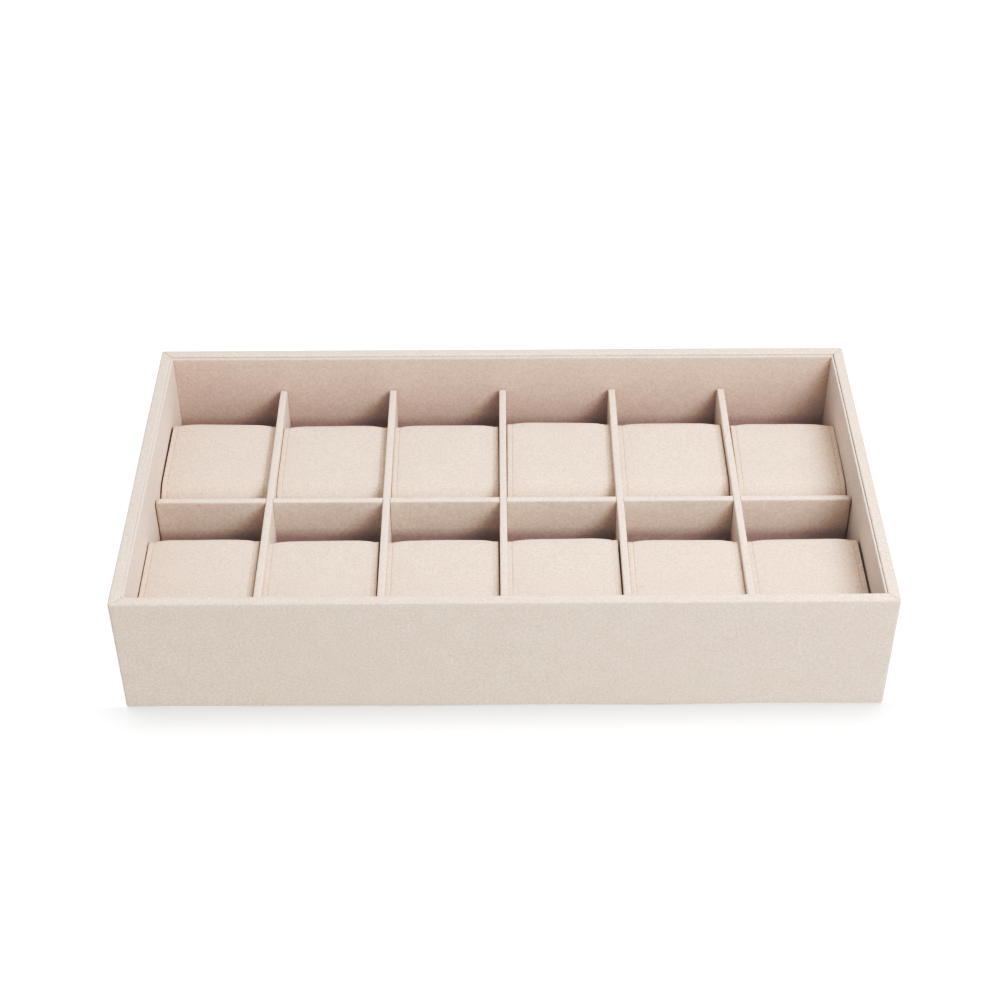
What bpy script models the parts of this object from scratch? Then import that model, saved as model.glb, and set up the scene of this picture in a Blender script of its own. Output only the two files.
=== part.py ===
# Watch tray insert: a suede-wrapped box, a half-lapped divider grid and twelve lift-out cushions.
# Metres, +Z up, +Y towards the back. The origin is the centre of the footprint, where the tray stands.

import math

import bmesh
import bpy

# Box
tray_length = 0.370
tray_depth = 0.199
tray_height = 0.0693
wall_thickness = 0.0050
cloth_thickness = 0.0006
rim_radius = 0.0010
corner_radius = 0.0010
turn_in_depth = 0.018

# What keeps touching pieces apart, and what a cutter reaches past the piece that it cuts
fit_gap = 0.0003
overrun = 0.0040

# Underside and floor
base_cover_thickness = 0.0005
base_cover_margin = 0.0030
base_cover_radius = 0.0020
base_board_thickness = 0.0030
floor_lining_thickness = 0.0012

# Lining panels
lining_thickness = 0.0017
lining_drop = 0.0003
front_lining_drop = 0.0022
lining_edge_radius = 0.0004

# Divider grid
cells_across = 6
divider_thickness = 0.0034
divider_drop = 0.0205
divider_edge_radius = 0.0007
cross_end_gap = 0.0006
long_end_gap = 0.0012
slot_clearance = 0.0003
long_divider_forward = 0.0012

# Cushions: what is free round each one in its cell
side_clearance = 0.0009
finger_space = 0.0243
nose_gap = 0.0028
crown_below_divider = 0.0028

# Cushion body and end caps
cushion_crown = 0.0012
cushion_bulge = 0.0008
top_fall = 0.0012
seam_tuck = 0.0005
back_top_radius = 0.0055
front_top_radius = 0.0140
bottom_radius = 0.0080
cap_thickness = 0.0019
cap_setback = 0.0002
cap_edge_radius = 0.0006
crown_power = 4
crown_station_shares = (0.0, 0.42, 0.72, 0.9, 1.0)

# Facets: along each rounded corner, along the broad one at a cushion's front, and on half of the
# tray's upright corners, where each touches the arc
round_steps = 3
nose_steps = 5
corner_facet_shares = (0.25, 0.75)
sharp_angle = math.radians(40)

# How each cushion has settled: slide along the cell, turn seen from above, tilt seen from the front
settle_slide = 0.0014
settle_turn = math.radians(0.4)
settle_tilt = math.radians(0.4)
back_settle_shares = (
    (0.35, -1.0, 1.0),
    (-0.70, 0.1, 0.1),
    (-0.65, 0.3, -0.4),
    (0.55, -0.8, 0.8),
    (-0.15, 0.3, -0.3),
    (-1.0, -1.0, 0.9),
)
front_settle_shares = (
    (1.0, 0.2, -0.2),
    (0.0, 0.9, -0.9),
    (0.0, 0.8, -0.8),
    (0.35, 1.0, -0.9),
    (-0.55, -0.3, 0.3),
    (-0.40, 0.9, -0.8),
)

# Levels worked out from the sizes above, from the floor up
wrap_bottom = base_cover_thickness + fit_gap
base_board_top = wrap_bottom + base_board_thickness
lining_bottom = base_board_top + fit_gap
floor_top = lining_bottom + floor_lining_thickness
divider_bottom = floor_top + fit_gap
divider_top = tray_height - divider_drop
divider_height = divider_top - divider_bottom
slot_level = (divider_bottom + divider_top) / 2
cushion_height = divider_top - crown_below_divider - divider_bottom

# Distances in from the outside of a wall
board_outside = cloth_thickness + fit_gap
board_inside = wall_thickness - cloth_thickness - fit_gap
lining_outside = wall_thickness + fit_gap
lining_inside = lining_outside + lining_thickness

# Clear inside of the linings, and the cells between the dividers
inner_length = tray_length - 2 * lining_inside
inner_depth = tray_depth - 2 * lining_inside
cell_pitch = (inner_length + divider_thickness) / cells_across
cell_width = cell_pitch - divider_thickness
long_divider_y = -long_divider_forward
front_cell_back = long_divider_y - divider_thickness / 2
back_cell_back = inner_depth / 2
front_cell_depth = front_cell_back + inner_depth / 2

# Cushion sizes that follow the cell
cushion_width = cell_width - 2 * side_clearance
cushion_depth = front_cell_depth - finger_space - nose_gap
body_half = cushion_width / 2 - cap_thickness - fit_gap


for old in list(bpy.data.objects):
    bpy.data.objects.remove(old)

tray_collection = bpy.data.collections.new("watch_tray_insert")
cutter_collection = bpy.data.collections.new("cutters")
bpy.context.scene.collection.children.link(tray_collection)
bpy.context.scene.collection.children.link(cutter_collection)


def make_material(name, color, roughness):
    material = bpy.data.materials.new(name)
    material.use_nodes = True
    material.diffuse_color = (*color, 1.0)
    shader = material.node_tree.nodes["Principled BSDF"]
    shader.inputs["Base Color"].default_value = (*color, 1.0)
    shader.inputs["Roughness"].default_value = roughness
    shader.inputs["Metallic"].default_value = 0.0
    return material


outer_suede = make_material("outer_suede", (0.76, 0.69, 0.62), 0.95)
lining_suede = make_material("lining_suede", (0.73, 0.64, 0.57), 0.95)
divider_suede = make_material("divider_suede", (0.74, 0.66, 0.59), 0.95)
cushion_suede = make_material("cushion_suede", (0.80, 0.71, 0.64), 0.95)
box_board = make_material("box_board", (0.42, 0.32, 0.22), 0.85)
under_cloth = make_material("under_cloth", (0.70, 0.64, 0.58), 0.95)


def add_object(name, mesh, material, collection=tray_collection):
    piece = bpy.data.objects.new(name, mesh)
    collection.objects.link(piece)
    if material is not None:
        mesh.materials.clear()
        mesh.materials.append(material)
    return piece


def mesh_from(bm, name):
    bmesh.ops.recalc_face_normals(bm, faces=bm.faces)
    mesh = bpy.data.meshes.new(name)
    bm.to_mesh(mesh)
    bm.free()
    return mesh


def box_mesh(name, size):
    # A box of the given size, centred on its own origin.
    bm = bmesh.new()
    bmesh.ops.create_cube(bm, size=1.0)
    bmesh.ops.scale(bm, vec=size, verts=bm.verts)
    return mesh_from(bm, name)


def soften_edges(piece, radius):
    # The cloth rounds every edge of the card that it covers.
    bevel = piece.modifiers.new("soft_edges", "BEVEL")
    bevel.width = radius
    bevel.segments = 2
    bevel.limit_method = "ANGLE"


def covered_card(name, low, high, material, radius):
    # A flat card between two corners of the tray's frame, its edges softened where radius isn't zero.
    size = [high[i] - low[i] for i in range(3)]
    piece = add_object(name, box_mesh(name, size), material)
    piece.location = [(low[i] + high[i]) / 2 for i in range(3)]
    if radius > 0:
        soften_edges(piece, radius)
    return piece


def rounded_sheet(name, length, depth, bottom, top, radius, material):
    # A flat sheet on the tray's centre whose four corners are rounded.
    bm = bmesh.new()
    bmesh.ops.create_cube(bm, size=1.0)
    bmesh.ops.scale(bm, vec=(length, depth, top - bottom), verts=bm.verts)
    half_height = (top - bottom) / 2
    upright = [e for e in bm.edges if abs(e.verts[0].co.z - e.verts[1].co.z) > half_height]
    bmesh.ops.bevel(bm, geom=upright, offset=radius, segments=round_steps, profile=0.5, affect="EDGES")
    piece = add_object(name, mesh_from(bm, name), material)
    piece.location.z = (bottom + top) / 2


def cut(piece, cutter):
    cutter.hide_render = True
    cutter.display_type = "WIRE"
    boolean = piece.modifiers.new(cutter.name, "BOOLEAN")
    boolean.operation = "DIFFERENCE"
    boolean.object = cutter


def arc(centre, radius, start, end, steps):
    points = []
    for step in range(steps + 1):
        angle = math.radians(start + (end - start) * step / steps)
        points.append((centre[0] + radius * math.cos(angle), centre[1] + radius * math.sin(angle)))
    return points


def round_off_ends(bm, length):
    # Where the cloth turns a corner of the box, planes that touch the corner's arc plane its tip off.
    for side in (-1, 1):
        for share in corner_facet_shares:
            angle = math.radians(45) * share
            along = length / 2 - corner_radius + corner_radius * math.sin(angle)
            inward = corner_radius * (1 - math.cos(angle))
            whole = bm.verts[:] + bm.edges[:] + bm.faces[:]
            planed = bmesh.ops.bisect_plane(
                bm, geom=whole, plane_co=(side * along, inward, 0),
                plane_no=(side * math.sin(angle), -math.cos(angle), 0), clear_outer=True)
            edges = [e for e in planed["geom_cut"] if isinstance(e, bmesh.types.BMEdge)]
            bmesh.ops.edgeloop_fill(bm, edges=edges)


def mitred_strip(name, section, length, material, rounded):
    # A closed section, as points inwards and up from the wall's outer foot, run along the wall.
    # Its ends lie on the mitres, half a gap short of the corner's diagonal.
    mitre_setback = fit_gap * math.sqrt(0.5)
    bm = bmesh.new()
    start = [bm.verts.new((0.0, inward, level)) for inward, level in section]
    face = bm.faces.new(start)
    grown = bmesh.ops.extrude_face_region(bm, geom=[face])
    far_end = [v for v in grown["geom"] if isinstance(v, bmesh.types.BMVert)]
    for side, verts in ((-1, start), (1, far_end)):
        for vert in verts:
            vert.co.x = side * (length / 2 - vert.co.y - mitre_setback)
    if rounded:
        round_off_ends(bm, length)
    return add_object(name, mesh_from(bm, name), material)


def wrap_section():
    # The cloth turns under the wall's foot, runs up the outside, over the rim and down inside.
    fold = max(rim_radius - cloth_thickness, fit_gap)
    foot = (rim_radius, wrap_bottom + rim_radius)
    outer_rim = (rim_radius, tray_height - rim_radius)
    inner_rim = (wall_thickness - rim_radius, tray_height - rim_radius)
    turn_in_end = tray_height - turn_in_depth
    outside = [(board_inside, wrap_bottom)]
    outside += arc(foot, rim_radius, 270, 180, round_steps)
    outside += arc(outer_rim, rim_radius, 180, 90, round_steps)
    outside += arc(inner_rim, rim_radius, 90, 0, round_steps)
    outside += [(wall_thickness, turn_in_end)]
    inside = [(wall_thickness - cloth_thickness, turn_in_end)]
    inside += arc(inner_rim, fold, 0, 90, round_steps)
    inside += arc(outer_rim, fold, 90, 180, round_steps)
    inside += arc(foot, fold, 180, 270, round_steps)
    inside += [(board_inside, wrap_bottom + cloth_thickness)]
    return outside + inside


def board_section():
    foot = wrap_bottom + cloth_thickness + fit_gap
    head = tray_height - cloth_thickness - fit_gap
    return [(board_outside, foot), (board_inside, foot), (board_inside, head), (board_outside, head)]


def build_walls():
    walls = (
        ("front", tray_length, (0, -tray_depth / 2), 0),
        ("right", tray_depth, (tray_length / 2, 0), 90),
        ("back", tray_length, (0, tray_depth / 2), 180),
        ("left", tray_depth, (-tray_length / 2, 0), 270),
    )
    for side, length, foot, turn in walls:
        board = mitred_strip(side + "_wall_board", board_section(), length, box_board, False)
        wrap = mitred_strip(side + "_wall_wrap", wrap_section(), length, outer_suede, True)
        for piece in (board, wrap):
            piece.location = (*foot, 0)
            piece.rotation_euler.z = math.radians(turn)


def build_base():
    board_length = tray_length - 2 * (board_inside + fit_gap)
    board_depth = tray_depth - 2 * (board_inside + fit_gap)
    low = (-board_length / 2, -board_depth / 2, wrap_bottom)
    high = (board_length / 2, board_depth / 2, base_board_top)
    covered_card("base_board", low, high, box_board, 0)
    rounded_sheet(
        "base_cover", tray_length - 2 * base_cover_margin, tray_depth - 2 * base_cover_margin,
        0, base_cover_thickness, base_cover_radius, under_cloth)
    floor_length = inner_length - 2 * fit_gap
    floor_depth = inner_depth - 2 * fit_gap
    low = (-floor_length / 2, -floor_depth / 2, lining_bottom)
    high = (floor_length / 2, floor_depth / 2, floor_top)
    covered_card("floor_lining", low, high, lining_suede, lining_edge_radius)


def build_linings():
    # The side panels run the whole depth, and the front and back panels stand between them.
    outer_x = tray_length / 2 - lining_outside
    outer_y = tray_depth / 2 - lining_outside
    inner_x = inner_length / 2
    inner_y = inner_depth / 2
    between = inner_x - fit_gap
    top = tray_height - lining_drop
    front_top = tray_height - front_lining_drop
    foot = lining_bottom
    panels = (
        ("left_lining", (-outer_x, -outer_y, foot), (-inner_x, outer_y, top)),
        ("right_lining", (inner_x, -outer_y, foot), (outer_x, outer_y, top)),
        ("back_lining", (-between, inner_y, foot), (between, outer_y, top)),
        ("front_lining", (-between, -outer_y, foot), (between, -inner_y, front_top)),
    )
    for name, low, high in panels:
        covered_card(name, low, high, lining_suede, lining_edge_radius)


def slot_cutter(name, x, bottom, top):
    # Both cards of a crossing have the same thickness, so their slots have the same width.
    width = divider_thickness + 2 * slot_clearance
    reach = divider_thickness + 2 * overrun
    size = (width, reach, top - bottom) if name.startswith("long") else (reach, width, top - bottom)
    cutter = add_object(name, box_mesh(name, size), None, cutter_collection)
    cutter.location = (x, long_divider_y, (bottom + top) / 2)
    return cutter


def build_dividers():
    # Half-lapped: the cross dividers run through on top, and the long one passes under them.
    half_card = divider_thickness / 2
    half_run = inner_depth / 2 - cross_end_gap
    half_length = inner_length / 2 - long_end_gap
    low = (-half_length, long_divider_y - half_card, divider_bottom)
    high = (half_length, long_divider_y + half_card, divider_top)
    long_divider = covered_card("long_divider", low, high, divider_suede, divider_edge_radius)
    for number in range(1, cells_across):
        x = (number - cells_across / 2) * cell_pitch
        low = (x - half_card, -half_run, divider_bottom)
        high = (x + half_card, half_run, divider_top)
        name = "cross_divider_" + str(number)
        divider = covered_card(name, low, high, divider_suede, divider_edge_radius)
        under_slot = slot_cutter(
            "cross_slot_" + str(number), x, divider_bottom - overrun, slot_level + slot_clearance / 2)
        over_slot = slot_cutter(
            "long_slot_" + str(number), x, slot_level - slot_clearance / 2, divider_top + overrun)
        cut(divider, under_slot)
        cut(long_divider, over_slot)


def cushion_outline(inset):
    # Side view of a cushion as points back and up, drawn in by inset all round but underneath.
    half = cushion_depth / 2 - cushion_bulge - inset
    top = cushion_height - inset
    back_radius = max(back_top_radius - inset, fit_gap)
    front_radius = max(front_top_radius - inset, fit_gap)
    points = [(half, (bottom_radius + top - back_radius) / 2)]
    points += arc((half - back_radius, top - back_radius), back_radius, 0, 90, round_steps)
    points += [((front_radius - back_radius) / 2, top)]
    points += arc((front_radius - half, top - front_radius), front_radius, 90, 180, nose_steps)
    points += [(-half, (bottom_radius + top - front_radius) / 2)]
    points += arc((bottom_radius - half, bottom_radius), bottom_radius, 180, 270, round_steps)
    points += arc((half - bottom_radius, bottom_radius), bottom_radius, 270, 360, round_steps)
    shaped = []
    for back, up in points:
        swell = cushion_bulge * math.sin(math.pi * up / cushion_height) * back / half
        fall = top_fall * (up / cushion_height) * (half - back) / (2 * half)
        shaped.append((back + swell, up - fall))
    return shaped


def loft(name, stations):
    # A closed skin through outlines that stand across the X axis, each with its place along it.
    bm = bmesh.new()
    rings = [[bm.verts.new((x, back, up)) for back, up in outline] for x, outline in stations]
    for ring, following in zip(rings, rings[1:]):
        for i in range(len(ring)):
            j = (i + 1) % len(ring)
            bm.faces.new((ring[i], ring[j], following[j], following[i]))
    bm.faces.new(rings[0])
    bm.faces.new(rings[-1])
    mesh = mesh_from(bm, name)
    mesh.shade_smooth()
    mesh.set_sharp_from_angle(angle=sharp_angle)
    return mesh


def body_mesh():
    # Crowned along its length, and tucked in at both ends where the caps are sewn on.
    half_run = body_half - seam_tuck
    half = [(share * half_run, cushion_crown * share ** crown_power) for share in crown_station_shares]
    half.append((body_half, cushion_crown + seam_tuck))
    places = [(-x, inset) for x, inset in reversed(half[1:])] + half
    return loft("cushion_body", [(x, cushion_outline(inset)) for x, inset in places])


def cap_mesh():
    # Its inner face is at x = 0 and its rounded face towards +X.
    inset = cushion_crown + cap_setback
    return loft("cushion_cap", [
        (0, cushion_outline(inset)),
        (cap_thickness - cap_edge_radius, cushion_outline(inset)),
        (cap_thickness, cushion_outline(inset + cap_edge_radius)),
    ])


def mirrored(mesh):
    bm = bmesh.new()
    bm.from_mesh(mesh)
    bmesh.ops.scale(bm, vec=(-1, 1, 1), verts=bm.verts)
    return mesh_from(bm, mesh.name + "_left")


def build_cushions():
    body = body_mesh()
    right_cap = cap_mesh()
    left_cap = mirrored(right_cap)
    rows = (
        ("back", back_cell_back, back_settle_shares),
        ("front", front_cell_back, front_settle_shares),
    )
    for row, cell_back, settle_shares in rows:
        for number, (slide, turn, tilt) in enumerate(settle_shares, 1):
            name = row + "_cushion_" + str(number)
            tilt_angle = tilt * settle_tilt
            lift = cushion_width / 2 * abs(math.sin(tilt_angle))
            seat = bpy.data.objects.new(name + "_seat", None)
            tray_collection.objects.link(seat)
            seat.location.x = (number - (cells_across + 1) / 2) * cell_pitch
            seat.location.y = cell_back - finger_space - cushion_depth / 2 + slide * settle_slide
            seat.location.z = divider_bottom + lift
            seat.rotation_euler = (0, tilt_angle, turn * settle_turn)
            pieces = (
                (name, body, 0),
                (name + "_right_cap", right_cap, body_half + fit_gap),
                (name + "_left_cap", left_cap, -body_half - fit_gap),
            )
            for piece_name, mesh, x in pieces:
                piece = add_object(piece_name, mesh, cushion_suede)
                piece.parent = seat
                piece.location.x = x


build_walls()
build_base()
build_linings()
build_dividers()
build_cushions()
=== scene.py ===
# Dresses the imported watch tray: suede drawn over card walls, a grid of covered cards and twelve
# padded cushions. Metres, +Z up, the front wall towards -Y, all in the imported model's own frame.
import math

import bmesh
import bpy
from mathutils import Matrix, Vector, noise


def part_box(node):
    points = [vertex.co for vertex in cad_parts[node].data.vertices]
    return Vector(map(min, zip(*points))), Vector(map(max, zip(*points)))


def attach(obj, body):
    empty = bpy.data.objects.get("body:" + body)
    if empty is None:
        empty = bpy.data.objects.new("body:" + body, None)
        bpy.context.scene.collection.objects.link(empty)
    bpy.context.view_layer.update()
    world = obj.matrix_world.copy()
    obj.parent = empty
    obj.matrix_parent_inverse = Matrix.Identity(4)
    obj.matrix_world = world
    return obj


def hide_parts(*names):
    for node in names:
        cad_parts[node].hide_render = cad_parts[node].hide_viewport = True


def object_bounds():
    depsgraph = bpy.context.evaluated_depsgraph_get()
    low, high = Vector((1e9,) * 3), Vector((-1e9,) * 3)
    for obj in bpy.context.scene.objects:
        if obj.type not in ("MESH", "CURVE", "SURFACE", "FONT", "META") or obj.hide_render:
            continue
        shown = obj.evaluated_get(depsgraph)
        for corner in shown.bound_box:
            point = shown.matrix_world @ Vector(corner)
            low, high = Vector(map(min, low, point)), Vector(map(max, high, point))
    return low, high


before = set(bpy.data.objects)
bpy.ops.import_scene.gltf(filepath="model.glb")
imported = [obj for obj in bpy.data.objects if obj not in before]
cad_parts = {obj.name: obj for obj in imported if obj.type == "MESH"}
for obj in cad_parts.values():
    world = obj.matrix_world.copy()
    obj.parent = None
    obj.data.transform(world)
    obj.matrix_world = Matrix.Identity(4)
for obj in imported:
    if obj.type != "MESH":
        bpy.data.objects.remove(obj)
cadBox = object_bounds()

scene = bpy.context.scene
mm = 0.001
halfLength = (cadBox[1].x - cadBox[0].x) / 2
halfDepth = (cadBox[1].y - cadBox[0].y) / 2
rimLevel = cadBox[1].z
cushionNames = [row + "_cushion_" + str(number) for row in ("back", "front") for number in range(1, 7)]
crossNames = ["cross_divider_" + str(number) for number in range(1, 6)]
wallNames = ["front", "right", "back", "left"]


# The camera stands where the photograph was taken
photoView = {
    "sensor": 36,  # mm wide
    "lens": 68.62,
    "nearest": 0.01,
    "place": (-0.00332, -0.74152, 0.68616),
    "down": 40.765,  # degrees
    "turn": -0.127,
    "roll": -0.224,
}


def addCamera(view):
    data = bpy.data.cameras.new("photoCamera")
    data.sensor_width = view["sensor"]
    data.lens = view["lens"]
    data.clip_start = view["nearest"]
    camera = addObject("photoCamera", data)
    turn = Matrix.Rotation(math.radians(view["turn"]), 4, "Z")
    tilt = Matrix.Rotation(math.radians(90 - view["down"]), 4, "X")
    roll = Matrix.Rotation(math.radians(view["roll"]), 4, "Z")
    camera.matrix_world = Matrix.Translation(view["place"]) @ turn @ tilt @ roll
    scene.camera = camera


# Node helpers: a socket given as an input is linked, anything else is set as its value
def put(tree, kind, inputs=None, **settings):
    node = tree.nodes.new(kind)
    for key, value in settings.items():
        setattr(node, key, value)
    for key, value in (inputs or {}).items():
        if isinstance(value, bpy.types.NodeSocket):
            tree.links.new(value, node.inputs[key])
        else:
            node.inputs[key].default_value = value
    return node


def first(tree, kind, inputs=None, **settings):
    # A node's first output
    return put(tree, kind, inputs, **settings).outputs[0]


def calc(tree, operation, *values):
    return first(tree, "ShaderNodeMath", dict(enumerate(values)), operation=operation)


def times(tree, one, other):
    return calc(tree, "MULTIPLY", one, other)


def vecCalc(tree, operation, *values):
    return first(tree, "ShaderNodeVectorMath", dict(enumerate(values)), operation=operation)


def scaled(tree, vector, factor):
    return first(tree, "ShaderNodeVectorMath", {0: vector, "Scale": factor}, operation="SCALE")


def joined(tree, x=0.0, y=0.0, z=0.0):
    return first(tree, "ShaderNodeCombineXYZ", {0: x, 1: y, 2: z})


def parts(tree, vector):
    return list(put(tree, "ShaderNodeSeparateXYZ", {0: vector}).outputs)


def clamped(tree, value, limit):
    # Held between the limit and its negative
    held = calc(tree, "MINIMUM", value, limit)
    return calc(tree, "MAXIMUM", held, times(tree, limit, -1.0))


def spread(tree, value, low, high):
    return first(tree, "ShaderNodeMapRange", {0: value, 1: low, 2: high})


def mixColors(tree, share, one, other, mode="MIX"):
    inputs = {0: share, 6: one, 7: other}
    return put(tree, "ShaderNodeMix", inputs, data_type="RGBA", blend_type=mode).outputs[2]


def noiseAt(tree, vector, scale, detail=3.0, roughness=0.5, distortion=0.0):
    return put(tree, "ShaderNodeTexNoise", {
        "Vector": vector, "Scale": scale, "Detail": detail, "Roughness": roughness,
        "Distortion": distortion}).outputs["Fac"]


def together(tree, *pieces):
    join = tree.nodes.new("GeometryNodeJoinGeometry")
    for piece in pieces:
        tree.links.new(piece, join.inputs[0])
    return join.outputs[0]


def newTree(kind, name, inputs, outputs):
    tree = bpy.data.node_groups.new(name, kind)
    for label, socketKind, value in inputs:
        socket = tree.interface.new_socket(label, in_out="INPUT", socket_type="NodeSocket" + socketKind)
        if value is not None:
            socket.default_value = value
    for label, socketKind in outputs:
        tree.interface.new_socket(label, in_out="OUTPUT", socket_type="NodeSocket" + socketKind)
    return tree, tree.nodes.new("NodeGroupInput").outputs, tree.nodes.new("NodeGroupOutput").inputs


# Shared cloth effects. Coordinates are metres on the object, so a scale of 100 gives 10 mm features.
napPlan = {
    "blotchRange": (0.36, 0.68),  # the part of a noise's 0 to 1 that is spread over the whole tone
    "blushRange": (0.42, 0.66),
    "wearRange": (0.32, 0.66),
    "blushScale": 0.45,  # of the blotches' scale
    "blushShift": (3.1, 1.7, 5.3),
    "grainGain": 4.0,
    "fibreStretch": (1.0, 0.4, 0.7),
    "streakScale": 0.4,  # of the fibres' scale
    "fibreShare": 0.6,
    "streakShare": 0.4,
    "roughSwing": 0.1,
}


def brushedNapGroup(plan):
    # Broad soft blotches, a second blush tone, and a fine grain over both
    tree, given, result = newTree("ShaderNodeTree", "brushedNap", (
        ("Vector", "Vector", None),
        ("Tone", "Color", (0.8, 0.7, 0.6, 1)),
        ("Shaded Tone", "Color", (0.7, 0.6, 0.5, 1)),
        ("Blush Tone", "Color", (0.8, 0.66, 0.6, 1)),
        ("Blotch Scale", "Float", 90.0),
        ("Blotch Amount", "Float", 0.5),
        ("Blush Amount", "Float", 0.3),
        ("Grain Scale", "Float", 850.0),
        ("Grain Amount", "Float", 0.05),
    ), (("Color", "Color"),))
    blotch = noiseAt(tree, given["Vector"], given["Blotch Scale"], 4.0, 0.55, 0.1)
    share = times(tree, spread(tree, blotch, *plan["blotchRange"]), given["Blotch Amount"])
    shaded = mixColors(tree, share, given["Tone"], given["Shaded Tone"])
    apart = vecCalc(tree, "ADD", given["Vector"], plan["blushShift"])
    blushScale = times(tree, given["Blotch Scale"], plan["blushScale"])
    blush = noiseAt(tree, apart, blushScale, 3.0, 0.5, 0.3)
    share = times(tree, spread(tree, blush, *plan["blushRange"]), given["Blush Amount"])
    blushed = mixColors(tree, share, shaded, given["Blush Tone"])
    grain = noiseAt(tree, given["Vector"], given["Grain Scale"], 3.0, 0.75)
    swing = times(tree, calc(tree, "SUBTRACT", grain, 0.5), given["Grain Amount"])
    level = calc(tree, "ADD", times(tree, swing, plan["grainGain"]), 1.0)
    gray = first(tree, "ShaderNodeCombineColor", {0: level, 1: level, 2: level})
    tree.links.new(mixColors(tree, 1.0, blushed, gray, "MULTIPLY"), result["Color"])
    return tree


def pileGroup(plan):
    # Height and roughness of the pile: fine fibres, short streaks, and a slow swell of the cloth
    tree, given, result = newTree("ShaderNodeTree", "suedePile", (
        ("Vector", "Vector", None),
        ("Fibre Scale", "Float", 2200.0),
        ("Swell Scale", "Float", 160.0),
        ("Swell Amount", "Float", 0.2),
        ("Base Roughness", "Float", 0.92),
    ), (("Height", "Float"), ("Roughness", "Float")))
    fibre = noiseAt(tree, given["Vector"], given["Fibre Scale"], 4.0, 0.7)
    drawn = vecCalc(tree, "MULTIPLY", given["Vector"], plan["fibreStretch"])
    streakScale = times(tree, given["Fibre Scale"], plan["streakScale"])
    streak = noiseAt(tree, drawn, streakScale, 3.0, 0.6, 0.4)
    swell = noiseAt(tree, given["Vector"], given["Swell Scale"], 3.0, 0.5)
    fine = calc(tree, "ADD", times(tree, fibre, plan["fibreShare"]),
                times(tree, streak, plan["streakShare"]))
    height = calc(tree, "ADD", fine, times(tree, swell, given["Swell Amount"]))
    tree.links.new(height, result["Height"])
    swing = times(tree, streak, plan["roughSwing"])
    rough = calc(tree, "ADD", given["Base Roughness"], swing)
    tree.links.new(calc(tree, "MINIMUM", rough, 1.0), result["Roughness"])
    return tree


def foldWearGroup(plan):
    # Where the cloth is folded over an edge the pile opens, unevenly, and takes another tone
    tree, given, result = newTree("ShaderNodeTree", "foldWear", (
        ("Vector", "Vector", None),
        ("Color", "Color", (0.8, 0.7, 0.6, 1)),
        ("Worn Tone", "Color", (0.8, 0.7, 0.6, 1)),
        ("Fold", "Float", 0.0),
        ("Amount", "Float", 0.5),
        ("Breakup Scale", "Float", 400.0),
    ), (("Color", "Color"),))
    broken = spread(
        tree, noiseAt(tree, given["Vector"], given["Breakup Scale"], 3.0, 0.6), *plan["wearRange"])
    mask = times(tree, times(tree, given["Fold"], given["Amount"]), broken)
    tree.links.new(mixColors(tree, mask, given["Color"], given["Worn Tone"]), result["Color"])
    return tree


def cellShadeGroup():
    # Painted shade: low down in the cells, behind the cushions, the cloth is darkened towards the bottom
    # to a deeper tone, standing for the shade that falls there
    tree, given, result = newTree("ShaderNodeTree", "cellShade", (
        ("Vector", "Vector", None),
        ("Color", "Color", (0.8, 0.7, 0.6, 1)),
        ("Painted Shade Tone", "Color", (0.6, 0.6, 0.6, 1)),
        ("Low", "Float", 0.02),
        ("High", "Float", 0.03),
    ), (("Color", "Color"),))
    share = spread(tree, parts(tree, given["Vector"])[2], given["Low"], given["High"])
    shade = mixColors(tree, share, given["Painted Shade Tone"], (1, 1, 1, 1))
    tree.links.new(mixColors(tree, 1.0, given["Color"], shade, "MULTIPLY"), result["Color"])
    return tree


clothGroups = {
    "nap": brushedNapGroup(napPlan), "pile": pileGroup(napPlan), "fold": foldWearGroup(napPlan),
    "shade": cellShadeGroup(),
}

# Tones are linear colours, as the cloth has them under white light, except for the painted shade and the
# side linings' painted light noted below
outerLook = {
    "tone": (0.636, 0.542, 0.468), "shaded": (0.596, 0.500, 0.426), "blush": (0.628, 0.516, 0.454),
    "blotchScale": 90.0, "blotch": 0.6, "blushShare": 0.5, "grain": 0.2, "worn": (0.490, 0.405, 0.340),
    "fold": 0.6, "bump": 0.35,
}
# The linings and dividers carry painted shade: their cloth darkens low in the cells, between the levels
# given
liningLook = {
    "tone": (0.594, 0.479, 0.420), "shaded": (0.559, 0.445, 0.386), "blush": (0.585, 0.459, 0.407),
    "blotchScale": 90.0, "blotch": 0.5, "blushShare": 0.4, "grain": 0.17, "worn": (0.640, 0.556, 0.476),
    "fold": 0.5, "bump": 0.2, "paintedShade": (0.74, 0.72, 0.77), "paintedShadeLevels": (24 * mm, 30 * mm),
}
# The side linings are the back lining's cloth painted in lighter tones, standing for the light that falls
# on them; the right one's edges also take a darker tone
leftLiningLook = dict(
    liningLook, tone=(0.634, 0.530, 0.474), shaded=(0.598, 0.494, 0.438), blush=(0.625, 0.508, 0.460))
rightLiningLook = dict(
    liningLook, tone=(0.615, 0.540, 0.487), shaded=(0.580, 0.505, 0.453), blush=(0.607, 0.520, 0.473),
    worn=(0.500, 0.420, 0.360), fold=0.9)
dividerLook = {
    "tone": (0.654, 0.556, 0.484), "shaded": (0.620, 0.520, 0.449), "blush": (0.645, 0.532, 0.470),
    "blotchScale": 90.0, "blotch": 0.5, "blushShare": 0.35, "grain": 0.17, "worn": (0.670, 0.600, 0.530),
    "fold": 0.5, "bump": 0.2, "paintedShade": (0.66, 0.62, 0.67), "paintedShadeLevels": (24.5 * mm, 31 * mm),
}
cushionLook = {
    "tone": (0.640, 0.525, 0.448), "shaded": (0.606, 0.488, 0.411), "blush": (0.634, 0.507, 0.437),
    "blotchScale": 90.0, "blotch": 0.5, "blushShare": 0.4, "grain": 0.19, "worn": (0.470, 0.355, 0.300),
    "fold": 0.85, "bump": 0.3,
}
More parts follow.
